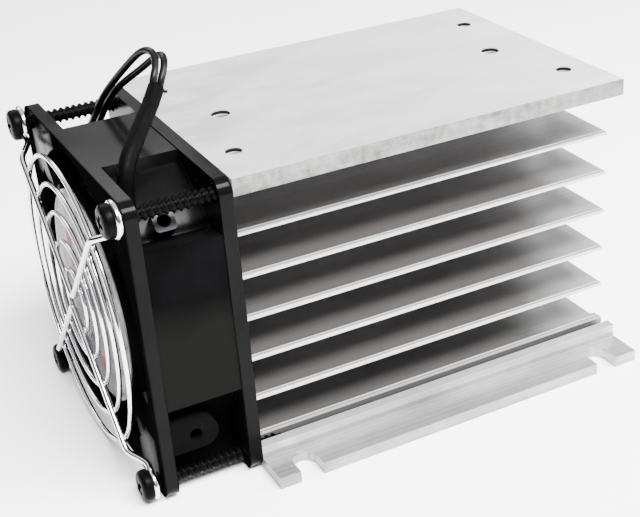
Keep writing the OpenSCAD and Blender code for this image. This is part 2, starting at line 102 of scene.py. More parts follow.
class Nodes:
    """Short hand for building one procedural material."""

    def __init__(self, name):
        self.material = bpy.data.materials.new(name)
        self.material.use_nodes = True
        self.tree = self.material.node_tree
        self.shader = self.tree.nodes["Principled BSDF"]
        self.object = self.add("ShaderNodeTexCoord").outputs["Object"]

    def add(self, kind, **values):
        node = self.tree.nodes.new(kind)
        for key, value in values.items():
            setattr(node, key, value)
        return node

    def link(self, source, target):
        self.tree.links.new(source, target)

    def set(self, **values):
        for key, value in values.items():
            self.shader.inputs[key.replace("_", " ")].default_value = value

    def xyz(self):
        """The surface point's own X, Y and Z, in metres."""
        split = self.add("ShaderNodeSeparateXYZ")
        self.link(self.object, split.inputs["Vector"])
        return split.outputs["X"], split.outputs["Y"], split.outputs["Z"]

    def stretched(self, *scale):
        mapping = self.add("ShaderNodeMapping")
        mapping.inputs["Scale"].default_value = scale
        self.link(self.object, mapping.inputs["Vector"])
        return mapping.outputs["Vector"]

    def noise(self, scale, detail, roughness, vector=None):
        node = self.add("ShaderNodeTexNoise")
        node.inputs["Scale"].default_value = scale
        node.inputs["Detail"].default_value = detail
        node.inputs["Roughness"].default_value = roughness
        self.link(vector or self.object, node.inputs["Vector"])
        return node.outputs["Fac"]

    def span(self, value, low, high, start=0.0, end=1.0):
        """low up to start, high from end on, and a straight ramp between them."""
        node = self.add("ShaderNodeMapRange")
        node.inputs["From Min"].default_value = start
        node.inputs["From Max"].default_value = end
        node.inputs["To Min"].default_value = low
        node.inputs["To Max"].default_value = high
        self.link(value, node.inputs["Value"])
        return node.outputs["Result"]

    def rise(self, value, start, end):
        return self.span(value, 0.0, 1.0, start, end)

    def fall(self, value, start, end):
        return self.span(value, 1.0, 0.0, start, end)

    def within(self, value, low, high, soft):
        """1 where value lies between low and high, with soft sides."""
        rise = self.rise(value, low - soft, low + soft)
        fall = self.fall(value, high - soft, high + soft)
        return self.math("MULTIPLY", rise, fall)

    def blend(self, factor, a, b):
        node = self.add("ShaderNodeMix", data_type="RGBA")
        self.link(factor, node.inputs["Factor"])
        for socket, value in ((node.inputs[6], a), (node.inputs[7], b)):
            if isinstance(value, tuple):
                socket.default_value = (*value, 1.0)
            else:
                self.link(value, socket)
        return node.outputs[2]

    def math(self, operation, a, b=None):
        node = self.add("ShaderNodeMath", operation=operation)
        for socket, value in zip(node.inputs, (a, b)):
            if isinstance(value, (int, float)):
                socket.default_value = value
            elif value is not None:
                self.link(value, socket)
        return node.outputs["Value"]

    def product(self, first, *others):
        for other in others:
            first = self.math("MULTIPLY", first, other)
        return first

    def bump(self, height, distance, strength, normal=None):
        node = self.add("ShaderNodeBump")
        node.inputs["Distance"].default_value = distance
        node.inputs["Strength"].default_value = strength
        self.link(height, node.inputs["Height"])
        if normal is not None:
            self.link(normal, node.inputs["Normal"])
        return node.outputs["Normal"]

    def color(self, source):
        self.link(source, self.shader.inputs["Base Color"])

    def rough(self, source):
        self.link(source, self.shader.inputs["Roughness"])

    def normal(self, source):
        self.link(source, self.shader.inputs["Normal"])


def hole_mask(n, x, y, holes, wider):
    """1 inside the round holes that lie symmetrically about the seat's middle."""
    dx, dy, radius = holes[:3]
    along = n.math("SUBTRACT", n.math("ABSOLUTE", n.math("SUBTRACT", x, X_HOLES * MM)), dx * MM)
    across = n.math("SUBTRACT", n.math("ABSOLUTE", y), dy * MM)
    squares = n.math("ADD", n.math("MULTIPLY", along, along), n.math("MULTIPLY", across, across))
    rim = radius + wider
    return n.fall(n.math("SQRT", squares), (rim + 0.02) * MM, (rim + 0.12) * MM)


def tapped_holes(n, x, y, z, wider=0.0):
    """1 inside the relay seat's six tapped holes, each made wider by so many millimetres."""
    corner, centre = (hole_mask(n, x, y, holes, wider) for holes in (CORNER_HOLES, CENTRE_HOLES))
    floor = 0.0655
    return n.product(n.math("MAXIMUM", corner, centre), n.rise(z, floor, floor + 0.0001))


def thread_material():
    """Cut thread in a tapped hole: a painted highlight on its top turn and painted shade below it.
    """
    n = Nodes("seat_thread_look")
    n.set(Metallic=0.8)
    z = n.xyz()[2]
    grain = n.noise(900.0, 4.0, 0.6)
    depth = n.math("ADD", z, n.span(grain, -0.0002, 0.0002, 0.3, 0.7))
    # painted highlight above this depth, painted shade deeper in the hole
    n.color(n.blend(n.rise(depth, 0.078, 0.0784), (0.03, 0.028, 0.026), (0.9, 0.9, 0.9)))
    n.rough(n.span(grain, 0.25, 0.4, 0.3, 0.7))
    n.normal(n.bump(grain, 0.00002, 0.4))
    return n.material


def aluminium_material():
    """Mill-finish extrusion: die lines along X, oxide, scuffs, painted shade between the fins, in
    the channels, holes and on side faces, and painted highlights at the fin tips and seat.
    """
    n = Nodes("extruded_aluminium_look")
    n.set(Metallic=0.65, Specular_IOR_Level=0.4)
    lines = n.noise(1.0, 4.0, 0.75, n.stretched(5.0, 1500.0, 1500.0))
    cloud = n.noise(26.0, 6.0, 0.68, n.stretched(1.0, 1.8, 1.0))
    scuff = n.noise(240.0, 7.0, 0.8, n.stretched(0.7, 1.5, 1.0))
    base = n.blend(n.rise(cloud, 0.4, 0.64), (0.56, 0.56, 0.565), (0.43, 0.435, 0.44))
    base = n.blend(n.span(lines, 0.0, 0.35, 0.45, 0.7), base, (0.3, 0.3, 0.305))
    base = n.blend(n.span(scuff, 0.0, 0.7, 0.58, 0.75), base, (0.7, 0.7, 0.7))
    base = n.blend(n.span(scuff, 0.3, 0.0, 0.28, 0.4), base, (0.25, 0.25, 0.25))
    x, side_y, z = n.xyz()
    y = n.math("ABSOLUTE", side_y)
    # places on the profile, in metres
    sharp = 0.0001
    gaps_low, gaps_high = 0.0042, 0.0753
    tip, tip_middle, tip_end = 0.0323, 0.0328, 0.0334
    foot_in, foot_top, ridge_top = 0.0335, 0.0044, 0.0069
    channel_in, channel_out, channel_top = 0.0331, 0.0384, 0.0061
    seat_low, seat_top, seat_side = 0.074, 0.0798, 0.0398
    # painted shade on the faces between the fins, strongest near the tips and thinning out at the
    # far end, where light comes in
    finned = n.within(z, gaps_low, gaps_high, 0.0007)
    end = n.math("ADD", x, n.span(cloud, -0.006, 0.006, 0.3, 0.7))
    shade = n.product(n.span(y, 0.62, 1.0, 0.012, 0.03), n.span(end, 1.0, 0.35, 0.05, 0.069))
    gap_shade = n.product(shade, n.fall(y, tip - sharp, tip + sharp), finned)
    base = n.blend(n.span(gap_shade, 0.0, 0.97), base, (0.082, 0.075, 0.07))
    # each fin's tip gets a band of painted highlight and, just outside it, a band of painted shade
    tip_highlight = n.product(n.within(y, tip, tip_middle, sharp), finned)
    base = n.blend(n.span(tip_highlight, 0.0, 0.8), base, (0.85, 0.85, 0.86))
    tip_shade = n.product(n.within(y, tip_middle, tip_end, sharp), finned)
    base = n.blend(n.span(tip_shade, 0.0, 0.7), base, (0.12, 0.115, 0.11))
    # feet and base ridges are darkened in streaks: painted shade, heavier on the feet's side faces
    # than on top and least at the far end
    low = n.span(z, 0.8, 0.3, foot_top, foot_top + 2 * sharp)
    low = n.product(low, n.fall(z, ridge_top, ridge_top + sharp), n.rise(y, foot_in, 0.035))
    low = n.product(low, n.span(x, 1.1, 0.65, -0.05, 0.06))
    low = n.product(low, n.span(n.math("ADD", cloud, lines), 0.72, 1.1, 0.85, 1.15))
    base = n.blend(low, base, (0.1, 0.098, 0.106))
    # painted shade in the base channels
    channel = n.within(y, channel_in, channel_out, sharp)
    channel = n.product(channel, n.fall(z, channel_top, channel_top + sharp))
    base = n.blend(n.span(channel, 0.0, 0.85), base, (0.06, 0.057, 0.055))
    # the seat has a cloudy bloom, and painted light that brightens it towards its far end
    top = n.rise(z, seat_top, seat_top + sharp)
    bloom = n.noise(38.0, 6.0, 0.66, n.stretched(0.7, 1.5, 1.0))
    base = n.blend(n.product(top, n.span(bloom, 0.0, 0.85, 0.44, 0.6)), base, (0.26, 0.265, 0.27))
    base = n.blend(n.product(top, n.span(x, 0.15, 0.85, -0.03, 0.06)), base, (0.9, 0.9, 0.91))
    # the seat's side faces get painted shade, in patches, with a few marks that run down them
    edge = n.product(n.rise(y, seat_side, seat_side + sharp), n.rise(z, seat_low, 0.0745))
    marks = n.noise(1.0, 5.0, 0.75, n.stretched(420.0, 200.0, 230.0))
    patch = n.noise(1.0, 3.0, 0.6, n.stretched(45.0, 30.0, 260.0))
    edge = n.product(edge, n.span(n.math("ADD", marks, patch), 0.7, 1.0, 0.8, 1.2))
    base = n.blend(edge, base, (0.07, 0.07, 0.064))
    # painted shade inside the tapped holes
    holes = n.product(tapped_holes(n, x, y, z), n.fall(z, seat_top, seat_top + sharp))
    n.color(n.blend(holes, base, (0.02, 0.019, 0.018)))
    n.rough(n.span(n.math("ADD", lines, cloud), 0.28, 0.5, 0.8, 1.3))
    fine = n.bump(lines, 0.00004, 0.7)
    n.normal(n.bump(scuff, 0.00004, 0.5, fine))
    return n.material


def paint_edge_material():
    """Fan casting's rounded edges, where the paint is thin and shines."""
    n = Nodes("fan_edge_look")
    wear = n.noise(260.0, 5.0, 0.7)
    n.set(Specular_IOR_Level=0.6)
    n.color(n.blend(n.rise(wear, 0.45, 0.7), (0.004, 0.004, 0.004), (0.03, 0.03, 0.03)))
    n.rough(n.span(wear, 0.12, 0.3, 0.3, 0.7))
    n.normal(n.bump(wear, 0.00003, 0.4))
    return n.material


def edge_material():
    """Bevelled edge of the extrusion, painted near-white in worn patches as a highlight along each
    edge, with painted shade round the tapped holes.
    """
    n = Nodes("aluminium_edge_highlight_look")
    n.set(Metallic=0.6)
    wear = n.noise(700.0, 5.0, 0.7, n.stretched(0.4, 1.0, 1.0))
    holes = tapped_holes(n, *n.xyz(), wider=0.5)
    base = n.blend(n.rise(wear, 0.35, 0.7), (0.97, 0.97, 0.97), (0.7, 0.7, 0.71))
    n.color(n.blend(holes, base, (0.03, 0.029, 0.028)))
    n.rough(n.span(wear, 0.22, 0.4, 0.3, 0.7))
    n.normal(n.bump(wear, 0.00003, 0.4))
    return n.material


def paint_material(name, color, roughness):
    """Black gloss paint over a casting, with orange peel and a few dust specks."""
    n = Nodes(name)
    cloud = n.noise(55.0, 4.0, 0.6)
    grain = n.noise(900.0, 3.0, 0.6)
    speck = n.noise(2600.0, 2.0, 0.5)
    light = tuple(c * 2.2 for c in color)
    base = n.blend(n.rise(cloud, 0.35, 0.75), color, light)
    base = n.blend(n.span(speck, 0.0, 0.4, 0.76, 0.8), base, (0.12, 0.115, 0.11))
    x, y, z = n.xyz()
    # places on the casting, in metres
    panel_x, panel_face, panel_low = (-0.0616, -0.0424), -0.0395, 0.0245
    between_flanges = (-0.0618, -0.0422)
    boss_reach = 0.0439
    boss_x, boss_y, boss_z = (-0.0575, -0.0495), (-0.0345, -0.0265), (0.0682, 0.0755)
    front_x = -0.0649
    worn_corner = ((0.017, 0.031), (0.066, 0.077))
    worn_foot = ((-0.034, -0.026), (0.006, 0.014))
    # the near side panel is painted lighter in its lower part: a painted reflection of the floor
    panel = n.product(n.fall(y, panel_face, panel_face + 0.001), n.within(x, *panel_x, 0.0001))
    low = n.math("ADD", z, n.span(cloud, -0.004, 0.004, 0.3, 0.7))
    floor_reflection = n.product(n.fall(low, 0.042, 0.053), panel)
    floor_reflection = n.product(floor_reflection, n.span(z, 0.15, 1.0, panel_low, panel_low + 0.001))
    base = n.blend(floor_reflection, base, (0.0045, 0.0047, 0.0042))
    # the earth boss's face is coloured a lighter grey than the paint
    up = n.math("SUBTRACT", z, AXIS_Z * MM)
    reach = n.math("SQRT", n.math("ADD", n.math("MULTIPLY", y, y), n.math("MULTIPLY", up, up)))
    boss_face = n.rise(reach, boss_reach, boss_reach + 0.0002)
    for value, limits in ((x, boss_x), (y, boss_y), (z, boss_z)):
        boss_face = n.product(boss_face, n.within(value, *limits, 0.0002))
    n.color(n.blend(boss_face, base, (0.04, 0.037, 0.043)))
    # the panel, the lower part between the flanges and the front face are dull,
    # but for two shiny patches in corners of the front face
    corner, foot = (
        n.product(n.within(y, *y_span, 0.003), n.within(z, *z_span, 0.003))
        for y_span, z_span in (worn_corner, worn_foot)
    )
    shine = n.product(n.math("MAXIMUM", corner, foot), n.rise(cloud, 0.3, 0.6))
    front = n.math("SUBTRACT", n.fall(x, front_x, front_x + 0.0004), shine)
    under = n.product(n.within(x, *between_flanges, 0.0001), n.fall(z, 0.03, 0.045))
    dull = n.math("MAXIMUM", n.math("MAXIMUM", panel, under), front)
    gloss = 0.04
    n.set(Specular_IOR_Level=gloss)
    n.link(n.span(dull, gloss, 0.0), n.shader.inputs["Specular IOR Level"])
    n.rough(n.span(cloud, roughness, roughness + 0.14, 0.3, 0.75))
    n.normal(n.bump(grain, 0.00002, 0.5))
    return n.material


def plastic_material(name, color, roughness, grain=1400.0, depth=0.00001, spec=0.22):
    """Moulded plastic, or paint on a small part, with a fine grain."""
    n = Nodes(name)
    n.set(Specular_IOR_Level=spec)
    cloud = n.noise(90.0, 4.0, 0.6)
    fine = n.noise(grain, 4.0, 0.6)
    light = tuple(min(1.0, c * 1.7) for c in color)
    n.color(n.blend(n.rise(cloud, 0.3, 0.75), color, light))
    n.rough(n.span(fine, roughness - 0.06, roughness + 0.1, 0.3, 0.7))
    n.normal(n.bump(fine, depth, 0.7))
    return n.material


def metal_material(name, color, roughness, streak=(1.0, 1.0, 1.0), grain=600.0):
    """Plain metal with fine draw marks."""
    n = Nodes(name)
    n.set(Metallic=1.0)
    fine = n.noise(grain, 5.0, 0.65, n.stretched(*streak))
    shade = tuple(c * 0.75 for c in color)
    n.color(n.blend(n.rise(fine, 0.35, 0.75), color, shade))
    n.rough(n.span(fine, roughness, roughness + 0.12, 0.3, 0.75))
    n.normal(n.bump(fine, 0.000008, 0.5))
    return n.material


def chrome_material():
    """Bright nickel-chrome wire with faint draw marks and a few dull spots."""
    n = Nodes("guard_chrome_look")
    n.set(Metallic=1.0)
    draw = n.noise(260.0, 4.0, 0.6)
    spot = n.noise(1500.0, 3.0, 0.6)
    base = n.blend(n.rise(draw, 0.4, 0.8), (0.86, 0.86, 0.87), (0.74, 0.74, 0.76))
    n.color(base)
    n.rough(n.span(spot, 0.1, 0.26, 0.45, 0.85))
    n.normal(n.bump(draw, 0.00002, 0.35))
    return n.material


def label_material():
    """Brushed silver foil label with generic coloured print and thin rules."""
    n = Nodes("label_foil_look")
    n.set(Specular_IOR_Level=0.05)
    brush = n.noise(1.0, 3.0, 0.6, n.stretched(900.0, 900.0, 60.0))
    wave = n.noise(60.0, 2.0, 0.5)
    _, y, z = n.xyz()
    up = n.math("SUBTRACT", z, AXIS_Z * MM)

    def band(value, low, high, soft):
        """1 where value lies between low and high millimetres, with soft sides outside them."""
        rise = n.rise(value, low * MM - soft, low * MM)
        return n.product(rise, n.fall(value, high * MM, high * MM + soft))

    def patch(y_span, z_span, soft=0.0002):
        return n.product(band(y, *y_span, soft), band(up, *z_span, soft))

    blur = 0.0012
    red = n.math(
        "MAXIMUM",
        patch((11.4, 15.0), (2.2, 12.6), blur),
        patch((-4.0, 0.0), (-22.0, -17.6), blur),
    )
    rules = patch((-16.0, 9.0), (15.2, 15.7))
    blocks = (
        ((2.0, 19.0), 0.7, (-3.2, -6.4, -9.6, -12.8)),
        ((-18.0, -6.0), 0.6, (-9.0, -5.5, 5.0, 8.0)),
    )
    for across, height, heights in blocks:
        for low in heights:
            rules = n.math("MAXIMUM", rules, patch(across, (low, low + height)))
    distance = n.add("ShaderNodeVectorMath", operation="LENGTH")
    flat = n.add("ShaderNodeCombineXYZ")
    n.link(y, flat.inputs["X"])
    n.link(up, flat.inputs["Y"])
    n.link(flat.outputs["Vector"], distance.inputs[0])
    border = band(distance.outputs["Value"], 26.4, 26.8, 0.0001)
    rules = n.math("MAXIMUM", rules, border)
    # the foil is streaked light and dark in broad bands: a painted reflection of its surroundings
    streak = n.noise(1.0, 4.0, 0.6, n.stretched(60.0, 150.0, 34.0))
    base = n.blend(n.rise(streak, 0.42, 0.58), (0.14, 0.128, 0.14), (0.014, 0.012, 0.016))
    base = n.blend(n.span(brush, 0.0, 0.4, 0.3, 0.75), base, (0.1, 0.094, 0.105))
    base = n.blend(red, base, (0.2, 0.008, 0.04))
    n.link(n.span(red, 0.22, 0.0), n.shader.inputs["Metallic"])
    n.color(n.blend(rules, base, (0.05, 0.045, 0.05)))
    n.rough(n.span(n.math("MAXIMUM", red, rules), 0.16, 0.4))
    n.normal(n.bump(wave, 0.00012, 0.35))
    return n.material


LOOKS = {
    "extruded_aluminium": aluminium_material(),
    "fan_black": paint_material("fan_black_look", (0.0013, 0.0013, 0.0014), 0.13),
    "label_foil": label_material(),
    "brass_tube": metal_material("brass_tube_look", (0.72, 0.55, 0.25), 0.3),
    "bearing_steel": metal_material("bearing_steel_look", (0.66, 0.66, 0.68), 0.22),
    "lamination": metal_material(
        "lamination_look", (0.40, 0.40, 0.42), 0.4, (1.0, 0.02, 0.02), grain=2500.0
    ),
    "insulation": plastic_material("insulation_look", (0.70, 0.66, 0.50), 0.5, spec=0.5),
    "enamelled_copper": metal_material(
        "enamelled_copper_look", (0.62, 0.25, 0.09), 0.25, (1.0, 1.0, 8.0), grain=900.0
    ),
    "board": plastic_material("board_look", (0.34, 0.25, 0.09), 0.5, grain=2200.0),
    "shaft_steel": metal_material("shaft_steel_look", (0.62, 0.62, 0.64), 0.2, (0.1, 1.0, 1.0)),
    "cast_cage": metal_material("cast_cage_look", (0.68, 0.68, 0.70), 0.45),
    "impeller_plastic": plastic_material(
        "impeller_plastic_look", (0.004, 0.004, 0.0044), 0.3, spec=0.1
    ),
    "guard_chrome": chrome_material(),
    "screw_black": plastic_material(
        "screw_black_look", (0.0011, 0.001, 0.00095), 0.3, grain=1500.0, depth=0.00005, spec=0.02
    ),
    "sleeve_black": plastic_material(
        "sleeve_black_look", (0.0007, 0.0007, 0.0008), 0.5, grain=1800.0, depth=0.00003, spec=0.02
    ),
    "lead_black": plastic_material(
        "lead_black_look", (0.0018, 0.0018, 0.002), 0.3, grain=1200.0, depth=0.00002, spec=0.1
    ),
}
THREAD = thread_material()
TINNED = metal_material("tinned_strand_look", (0.78, 0.78, 0.76), 0.28, grain=3000.0)

# --------------------------------------------------------------- helpers


def new_object(name, data, slot, body="base", replaced=(), look=None):
    """A visible piece on a body, which takes its slot's look unless another is given."""
    piece = bpy.data.objects.new(name, data)
    bpy.context.scene.collection.objects.link(piece)
    data.materials.append(look or LOOKS[slot])
    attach(piece, body)
    if replaced:
        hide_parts(*replaced)
    return piece


def mesh_from(name, verts, faces, smooth=True):
    """Mesh from points in millimetres, its faces turned outwards."""
    mesh = bpy.data.meshes.new(name)
    mesh.from_pydata([tuple(c * MM for c in v) for v in verts], [], faces)
    mesh.validate()
    fixer = bmesh.new()
    fixer.from_mesh(mesh)
    bmesh.ops.recalc_face_normals(fixer, faces=fixer.faces)
    fixer.to_mesh(mesh)
    fixer.free()
    if smooth:
        mesh.shade_smooth()
    return mesh


def smooth_path(points, steps):
    """Catmull-Rom line through the points."""
    knots = [Vector(p) for p in points]
    out = []
    for i in range(len(knots) - 1):
        a, b = knots[max(i - 1, 0)], knots[i]
        c, d = knots[i + 1], knots[min(i + 2, len(knots) - 1)]
        for k in range(steps):
            t = k / steps
            out.append(
                0.5
                * (
                    2 * b
                    + (c - a) * t
                    + (2 * a - 5 * b + 4 * c - d) * t * t
                    + (3 * b - a - 3 * c + d) * t**3
                )
            )
    out.append(knots[-1])
    return out


def frames_along(path):
    """Side and up vectors carried along a path without twist."""
    side = Vector((0.6, 0.0, 0.8))
    out = []
    for i, point in enumerate(path):
        ahead = (path[min(i + 1, len(path) - 1)] - path[max(i - 1, 0)]).normalized()
        side = (side - ahead * side.dot(ahead)).normalized()
        out.append((point, side, ahead.cross(side)))
    return out


def swept(path, sections, caps=True):
    """Tube along a path; sections gives each ring's (a, b) outline points."""
    verts, faces = [], []
    rings = frames_along(path)
    count = len(sections[0])
    for (point, side, up), outline in zip(rings, sections):
        verts += [point + side * a + up * b for a, b in outline]
    for i in range(len(rings) - 1):
        for k in range(count):
            j = (k + 1) % count
            faces.append((i * count + k, i * count + j, (i + 1) * count + j, (i + 1) * count + k))
    if caps:
        faces.append(tuple(range(count - 1, -1, -1)))
        last = (len(rings) - 1) * count
        faces.append(tuple(last + k for k in range(count)))
    return verts, faces


def circle(radius, count, squash=1.0):
    return [
        (
            radius * math.cos(2 * math.pi * k / count),
            radius * squash * math.sin(2 * math.pi * k / count),
        )
        for k in range(count)
    ]


def rounded(points, radius, steps=5):
    """Path with its inner corners rounded."""
    out = [Vector(points[0])]
    for a, c, b in zip(points, points[1:], points[2:]):
        a, c, b = Vector(a), Vector(c), Vector(b)
        p = c + (a - c).normalized() * radius
        q = c + (b - c).normalized() * radius
        for k in range(steps + 1):
            t = k / steps
            out.append(p * (1 - t) ** 2 + c * 2 * t * (1 - t) + q * t * t)
    out.append(Vector(points[-1]))
    return out


def revolved(profile, segments=48, closed=False):
    """Surface of revolution about +X from (radius, x) points."""
    verts, faces = [], []
    count = len(profile)
    for s in range(segments):
        angle = 2 * math.pi * s / segments
        verts += [(x, r * math.cos(angle), r * math.sin(angle)) for r, x in profile]
    spans = count if closed else count - 1
    for s in range(segments):
        t = (s + 1) % segments
        for i in range(spans):
            j = (i + 1) % count
            faces.append((s * count + i, s * count + j, t * count + j, t * count + i))
    return verts, faces


def moved(verts, offset):
    return [tuple(a + b for a, b in zip(v, offset)) for v in verts]


def joined(parts):
    verts, faces = [], []
    for v, f in parts:
        base = len(verts)
        verts += v
        faces += [tuple(base + i for i in face) for face in f]
    return verts, faces


# ------------------------------------------------------------ loose leads

LEAD_D = 1.8
LEAD_LEN = 280.0
SLEEVE_D = 4.1
COIL_STEP = 1.8  # from one turn of a coil to the next
COIL_OUT = 11.5  # outer radius of a coil
COIL_TURN = 20.0  # degrees from one point of a coil to the next
COILS = ((-31.0, 68.0), (-4.0, 68.0))
LYING_Z = 1.0  # middle of a lead that lies on the floor
SLEEVE_ROUTE = [
    (-59.5, -25.5, 70.5), (-59.5, -25.5, 75), (-59, -25.5, 79.5), (-57.5, -24, 83),
    (-55, -21.5, 85.5), (-52, -18, 87.5), (-49, -15, 89.5), (-46, -11.5, 91.5),
    (-43.5, -8.5, 93.5),
]
ROUTES = (
    [
        (-44.5, -8.5, 93.5), (-43.5, -8, 96), (-42, -6.5, 98), (-41, -4.5, 99.5),
        (-41, -2, 100.5), (-41.5, 0.5, 100.5), (-42.5, 3.5, 99), (-43, 6.5, 97), (-44, 9.5, 94.5),
        (-45, 12.5, 92), (-46, 16, 89), (-47.5, 20, 85.5), (-48.5, 23.5, 82), (-49, 26.5, 78.5),
        (-49.5, 29.5, 75), (-50, 32.5, 72), (-50, 36, 70), (-50, 39.5, 68), (-50, 42, 65),
        (-50, 43.5, 61), (-50, 44, 56), (-50, 44, 50), (-50, 44, 44), (-50, 44, 38),
        (-50, 44, 32), (-50, 44, 26), (-50, 44, 20), (-50, 44, 14), (-49.5, 45, 8.5),
        (-48.5, 47.5, 4), (-46.5, 51, 1.5), (-43.5, 54, 1), (-39.5, 56, 1), (-35, 56.5, 1),
        (-31, 56.5, 1),
    ],
    [
        (-42.5, -8, 93), (-41.5, -7.5, 95), (-40, -6.5, 97), (-39, -4.5, 98.5),
        (-38.5, -2, 99), (-38.5, 0.5, 98.5), (-39, 2.5, 97.5), (-40, 5.5, 95), (-41.5, 9, 92.5),
        (-43, 12.5, 90), (-44.5, 16.5, 87.5), (-45.5, 20, 85), (-46, 23, 82), (-47, 26.5, 78.5),
        (-47.5, 29.5, 75), (-47.5, 32.5, 72), (-47.5, 36, 70), (-47.5, 39.5, 68), (-47.5, 42, 65),
        (-47.5, 43.5, 61), (-47.5, 44, 56), (-47.5, 44, 50), (-47.5, 44, 44), (-47.5, 44, 38),
        (-47.5, 44, 32), (-47.5, 44, 26), (-47.5, 44, 20), (-47.5, 44, 14), (-47, 45, 8.5),
        (-46, 47, 4), (-44, 49.5, 1.5), (-41, 51.5, 1), (-37, 52.5, 1), (-32, 52.5, 1),
        (-27, 52.5, 1), (-22, 53, 1), (-17, 54.5, 1), (-12, 56, 1), (-8, 56.5, 1), (-4, 56.5, 1),
    ],
)


def path_length(path):
    return sum((b - a).length for a, b in zip(path, path[1:]))


def coil_points(center, length):
    """Flat turns that wind inwards from the end of the route until the length is used."""
    out, used, angle = [], 0.0, 0.0
    while used < length:
        angle += COIL_TURN
        radius = COIL_OUT - COIL_STEP * angle / 360
        turn = math.radians(angle)
        x = center[0] + radius * math.sin(turn)
        y = center[1] - radius * math.cos(turn)
        out.append(Vector((x, y, LYING_Z)))
        used += math.radians(COIL_TURN) * radius
    return out


def relaxed(points, rounds=2):
    """The route's points eased a little towards a smooth line, its ends kept."""
    line = [Vector(p) for p in points]
    for _ in range(rounds):
        line = (
            [line[0], line[1]]
            + [(a + b * 2 + c) / 4 for a, b, c in zip(line[1:], line[2:], line[3:])]
            + [line[-1]]
        )
    return line


def add_tip(name, end, ahead):
    """Seven tinned strands that stand out of a lead's cut end."""
    lay_r, strand_r, end_r = 0.32, 0.17, 0.12
    strands = []
    for k in range(7):
        off = Vector((0, 0, 0))
        if k < 6:
            turn = 2 * math.pi * k / 6
            off = Vector((ahead.y, -ahead.x, 0)) * lay_r * math.cos(turn)
            off += Vector((0, 0, lay_r * math.sin(turn)))
        line = [end + off - ahead * 0.6, end + off + ahead * 2.0, end + off * 0.9 + ahead * 4.5]
        strands.append(swept(line, [circle(strand_r, 8)] * 2 + [circle(end_r, 8)]))
    return new_object(name, mesh_from(name, *joined(strands)), "shaft_steel", look=TINNED)


def add_lead(index):
    number = index + 1
    route = relaxed(ROUTES[index])
    rest = LEAD_LEN - path_length(smooth_path(route, 8))
    knots = route + coil_points(COILS[index], rest)
    curve = bpy.data.curves.new(f"lead_{number}_wire", "CURVE")
    curve.dimensions = "3D"
    curve.bevel_depth = LEAD_D / 2 * MM
    curve.bevel_resolution = 5
    curve.resolution_u = 6
    curve.use_fill_caps = True
    spline = curve.splines.new("BEZIER")
    spline.bezier_points.add(len(knots) - 1)
    for i, (point, knot) in enumerate(zip(spline.bezier_points, knots)):
        before, after = knots[max(i - 1, 0)], knots[min(i + 1, len(knots) - 1)]
        tangent = (after - before).normalized()
        point.co = knot * MM
        point.handle_left = (knot - tangent * (knot - before).length / 3) * MM
        point.handle_right = (knot + tangent * (after - knot).length / 3) * MM
    stands_for = (f"lead_{number}", f"lead_coil_{number}")
    wire = new_object(f"lead_{number}_wire", curve, "lead_black", replaced=stands_for)
    tip = add_tip(f"lead_{number}_tip", knots[-1], (knots[-1] - knots[-2]).normalized())


def add_sleeve():
    """Fabric-backed sleeve, a little oval over the leads, with an open cut end."""
    wall, sides = 0.42, 24
    path = smooth_path(SLEEVE_ROUTE, 6)
    last = len(path) - 1
    outer, inner = [], []
    for i in range(len(path)):
        ripple = 0.03 * math.sin(i * 1.7) + 0.02 * math.sin(i * 0.9 + 1)
        squash = 0.97 - 0.06 * i / last
        outer.append(circle(SLEEVE_D / 2 + ripple - 0.03, sides, squash))
        inner.append(circle(SLEEVE_D / 2 - wall, sides, squash))
    outside, faces = swept(path, outer, caps=False)
    inside, lining = swept(path, inner, caps=False)
    base = len(outside)
    faces += [tuple(base + i for i in reversed(face)) for face in lining]
    for ring in (0, last * sides):
        for k in range(sides):
            j = (k + 1) % sides
            faces.append((ring + k, ring + j, base + ring + j, base + ring + k))
    mesh = mesh_from("lead_sleeve_tube", outside + inside, faces)
    sleeve = new_object("lead_sleeve_tube", mesh, "sleeve_black", replaced=("lead_sleeve",))


add_sleeve()
for lead in (0, 1):
    add_lead(lead)

# -------------------------------------------------------------- CAD nodes

SLOT_OF = {part["node"]: part["material_slot"] for part in frame["record"]["subparts"]}
for name, node in nodes.items():
    node.data.materials.clear()
    node.data.materials.append(LOOKS[SLOT_OF[name]])


def bevelled(name, width):
    modifier = nodes[name].modifiers.new("edge", "BEVEL")
    modifier.width = width * MM
    modifier.segments = 2
    modifier.limit_method = "ANGLE"
    modifier.angle_limit = math.radians(35)
    modifier.harden_normals = True
    return modifier


for name, width, edge_look in (
    ("heatsink", 0.28, edge_material()),
    ("fan_housing", 0.35, paint_edge_material()),
):
    nodes[name].data.materials.append(edge_look)
    bevelled(name, width).material = 1
for name in ("impeller", "hub_label", "stator_core", "stator_coils", "rotor_core"):
    bevelled(name, 0.1)

# ----------------------------------------------------------- finger guard


def add_guard_rings():
    for i, radius in enumerate(RING_R):
        profile = [(radius + a, b) for a, b in circle(RING_WIRE_R, 16)]
        verts, faces = revolved(profile, 144, closed=True)
        verts = moved(verts, (X_RING, 0, AXIS_Z))
        node = f"guard_ring_{i + 1}"
        mesh = mesh_from(node + "_wire", verts, faces)
        new_object(node + "_wire", mesh, "guard_chrome", replaced=(node,))


def stand(sy, sz):
    """Gap between the flange and the guard's eyelet in one corner."""
    return 0.0 if sy < 0 < sz else 1.2


